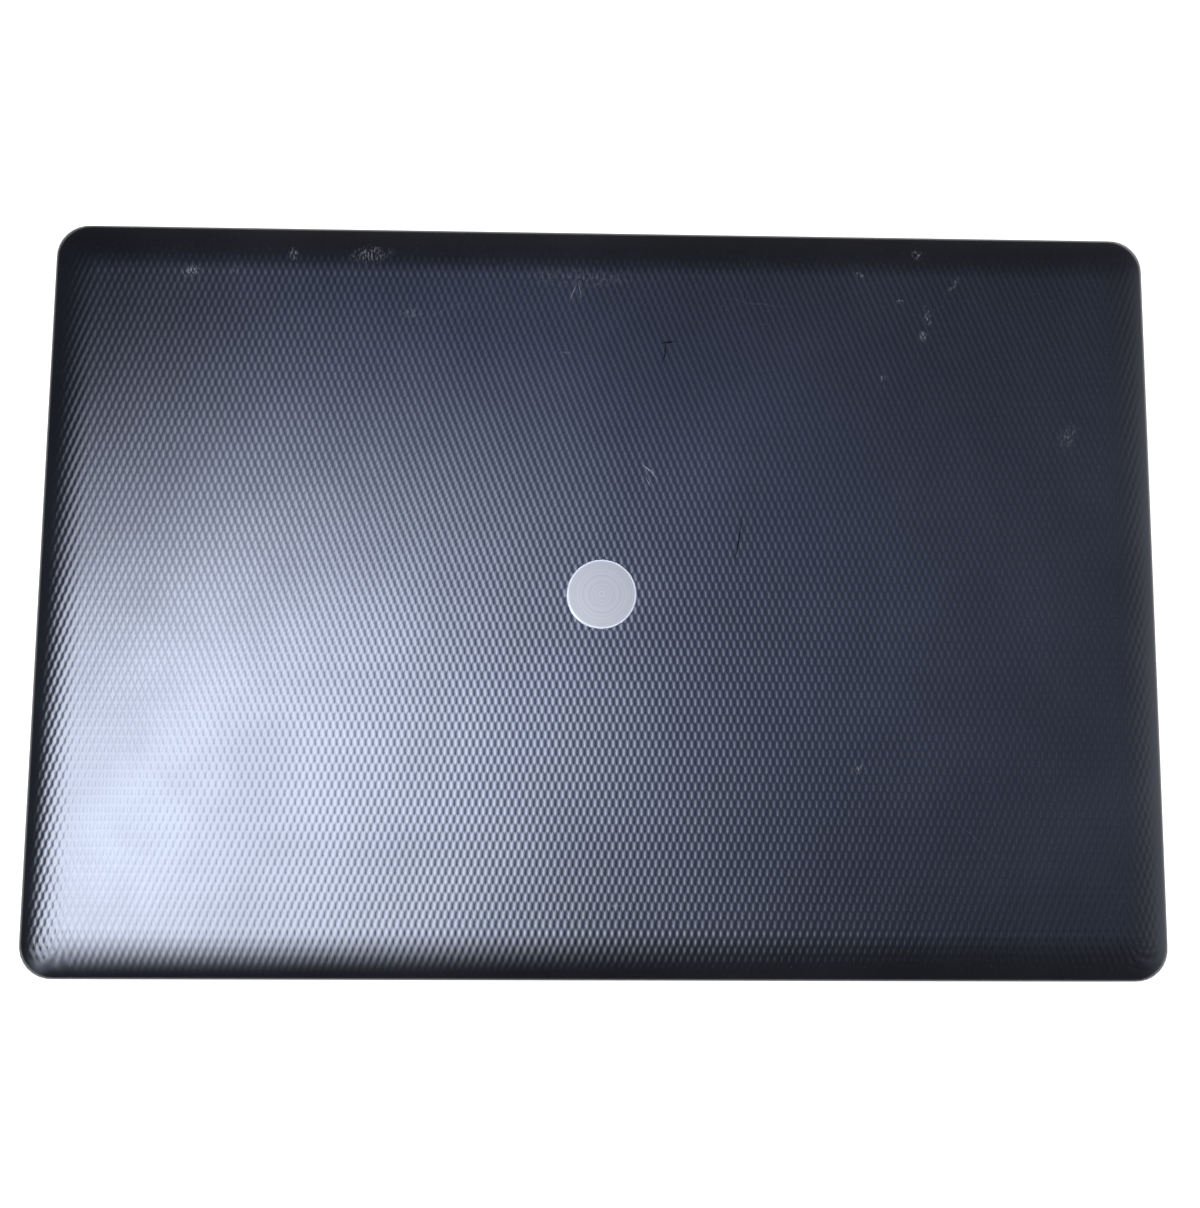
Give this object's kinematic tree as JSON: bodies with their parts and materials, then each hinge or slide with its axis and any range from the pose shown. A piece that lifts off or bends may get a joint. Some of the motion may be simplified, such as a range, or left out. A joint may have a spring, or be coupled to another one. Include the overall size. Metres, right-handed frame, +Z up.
{
  "type": "laptop computer",
  "caption": "Closed black laptop with an embossed glossy lid on a drop hinge, a keyboard with a number pad, a touchpad and a tray-loading disc drive.",
  "frame": {"origin": "middle of the closed laptop's outline, in the plane that its rubber feet stand on", "axes": "+X to the user's right, +Y from the user towards the hinge, +Z up"},
  "size_m": [0.4154, 0.2792, 0.025],
  "materials": {
    "lid_shell": "embossed gloss",
    "badge": "satin",
    "bezel": "gloss",
    "screen": "semi-gloss dark film",
    "case_plastic": "fine matte",
    "base_plastic": "textured matte",
    "key_plastic": "satin",
    "rubber": "matte",
    "steel": "stamped",
    "dark_screw": "black zinc",
    "socket_metal": "plated",
    "socket_plastic": "moulded",
    "circuit_board": "solder mask",
    "copper": "bare copper",
    "cell_wrap": "film",
    "cast_alloy": "cast",
    "fan_plastic": "moulded",
    "ribbon": "film"
  },
  "bodies": {
    "base": {"palmrest": "case_plastic", "bottom_cover": "base_plastic", "rubber_feet": "rubber", "keyboard_frame": "case_plastic", "keyboard_plate": "steel", "hinge_bracket_left": "steel", "hinge_bracket_right": "steel", "motherboard": "circuit_board", "cpu_heatsink": "copper", "fan_housing": "fan_plastic", "memory_modules": "circuit_board", "solid_state_drive": "circuit_board", "hard_drive": "cast_alloy", "battery_pack": "cell_wrap", "wireless_card": "circuit_board", "speakers": "socket_plastic", "io_board": "circuit_board", "usb_sockets": "socket_metal", "video_socket": "socket_metal", "network_socket": "socket_plastic", "headset_socket": "socket_plastic", "power_socket": "socket_plastic", "card_reader": "socket_metal", "exhaust_grille": "base_plastic", "drive_housing": "socket_metal", "backup_cell": "socket_metal", "base_screws": "dark_screw", "touchpad_bracket": "steel", "internal_cables": "ribbon"},
    "lid": {"lid_back_cover": "lid_shell", "lid_badge": "badge", "display_panel": "screen", "display_bezel": "bezel", "lid_bumpers": "rubber", "camera_module": "circuit_board", "hinge_cover": "base_plastic", "hinge_arm_left": "steel", "hinge_arm_right": "steel", "hinge_washers": "steel", "display_cable": "cell_wrap", "antennas": "copper", "lid_screws": "dark_screw"},
    "touchpad": {"touchpad": "case_plastic"},
    "power_button": {"power_button": "case_plastic"},
    "fan_rotor": {"fan_rotor": "fan_plastic"},
    "drive_tray": {"drive_tray": "case_plastic"},
    "drive_rails": {"drive_rails": "steel"},
    "eject_button": {"eject_button": "case_plastic"},
    "disc_spindle": {"disc_spindle": "steel"},
    "space_bar": {"space_bar": "key_plastic"},
    "enter_key": {"enter_key": "key_plastic"},
    "left_shift_key": {"left_shift_key": "key_plastic"},
    "function_row_keys": {"function_row_keys": "key_plastic"},
    "number_row_keys": {"number_row_keys": "key_plastic"},
    "top_letter_row_keys": {"top_letter_row_keys": "key_plastic"},
    "home_letter_row_keys": {"home_letter_row_keys": "key_plastic"},
    "bottom_letter_row_keys": {"bottom_letter_row_keys": "key_plastic"},
    "modifier_row_keys": {"modifier_row_keys": "key_plastic"},
    "arrow_keys": {"arrow_keys": "key_plastic"},
    "number_pad_keys": {"number_pad_keys": "key_plastic"}
  },
  "joints": [
    {"name": "lid_hinge", "type": "hinge", "parent": "base", "child": "lid", "pos_m": [0, 0.1332, 0.0186], "axis": [-1, 0, 0], "range_deg": [0, 135]},
    {"name": "touchpad_press", "type": "hinge", "parent": "base", "child": "touchpad", "pos_m": [-0.04662, -0.01798, 0.01505], "axis": [1, 0, 0], "range_deg": [0, 0.34], "stiffness_Nm_per_rad": 50, "springref_deg": -0.11},
    {"name": "power_press", "type": "slide", "parent": "base", "child": "power_button", "axis": [0, 0, -1], "range_m": [0, 0.0005], "stiffness_N_per_m": 200, "springref_m": -0.001},
    {"name": "fan_spin", "type": "hinge", "parent": "base", "child": "fan_rotor", "pos_m": [-0.12, 0.0958, 0.0067], "axis": [0, 0, 1], "continuous": true},
    {"name": "tray_slide", "type": "slide", "parent": "base", "child": "drive_tray", "axis": [1, 0, 0], "range_m": [0, 0.125]},
    {"name": "rail_slide", "type": "slide", "parent": "base", "child": "drive_rails", "axis": [1, 0, 0], "range_m": [0, 0.0625]},
    {"name": "eject_press", "type": "slide", "parent": "drive_tray", "child": "eject_button", "axis": [-1, 0, 0], "range_m": [0, 0.0005], "stiffness_N_per_m": 100, "springref_m": -0.001},
    {"name": "disc_spin", "type": "hinge", "parent": "drive_tray", "child": "disc_spindle", "pos_m": [0.1436, -0.039, 0.0065], "axis": [0, 0, 1], "continuous": true},
    {"name": "space_bar_press", "type": "slide", "parent": "base", "child": "space_bar", "axis": [0, 0, -1], "range_m": [0, 0.0013], "stiffness_N_per_m": 150, "springref_m": -0.002},
    {"name": "enter_press", "type": "slide", "parent": "base", "child": "enter_key", "axis": [0, 0, -1], "range_m": [0, 0.0013], "stiffness_N_per_m": 150, "springref_m": -0.002},
    {"name": "left_shift_press", "type": "slide", "parent": "base", "child": "left_shift_key", "axis": [0, 0, -1], "range_m": [0, 0.0013], "stiffness_N_per_m": 150, "springref_m": -0.002},
    {"name": "function_row_press", "type": "slide", "parent": "base", "child": "function_row_keys", "axis": [0, 0, -1], "range_m": [0, 0.0013], "stiffness_N_per_m": 400, "springref_m": -0.002},
    {"name": "number_row_press", "type": "slide", "parent": "base", "child": "number_row_keys", "axis": [0, 0, -1], "range_m": [0, 0.0013], "stiffness_N_per_m": 400, "springref_m": -0.002},
    {"name": "top_letter_row_press", "type": "slide", "parent": "base", "child": "top_letter_row_keys", "axis": [0, 0, -1], "range_m": [0, 0.0013], "stiffness_N_per_m": 400, "springref_m": -0.002},
    {"name": "home_letter_row_press", "type": "slide", "parent": "base", "child": "home_letter_row_keys", "axis": [0, 0, -1], "range_m": [0, 0.0013], "stiffness_N_per_m": 400, "springref_m": -0.002},
    {"name": "bottom_letter_row_press", "type": "slide", "parent": "base", "child": "bottom_letter_row_keys", "axis": [0, 0, -1], "range_m": [0, 0.0013], "stiffness_N_per_m": 400, "springref_m": -0.002},
    {"name": "modifier_row_press", "type": "slide", "parent": "base", "child": "modifier_row_keys", "axis": [0, 0, -1], "range_m": [0, 0.0013], "stiffness_N_per_m": 400, "springref_m": -0.002},
    {"name": "arrow_press", "type": "slide", "parent": "base", "child": "arrow_keys", "axis": [0, 0, -1], "range_m": [0, 0.0013], "stiffness_N_per_m": 400, "springref_m": -0.002},
    {"name": "number_pad_press", "type": "slide", "parent": "base", "child": "number_pad_keys", "axis": [0, 0, -1], "range_m": [0, 0.0013], "stiffness_N_per_m": 400, "springref_m": -0.002}
  ],
  "couplings": [
    {"joint": "rail_slide", "follows": "tray_slide", "ratio": 0.5}
  ]
}
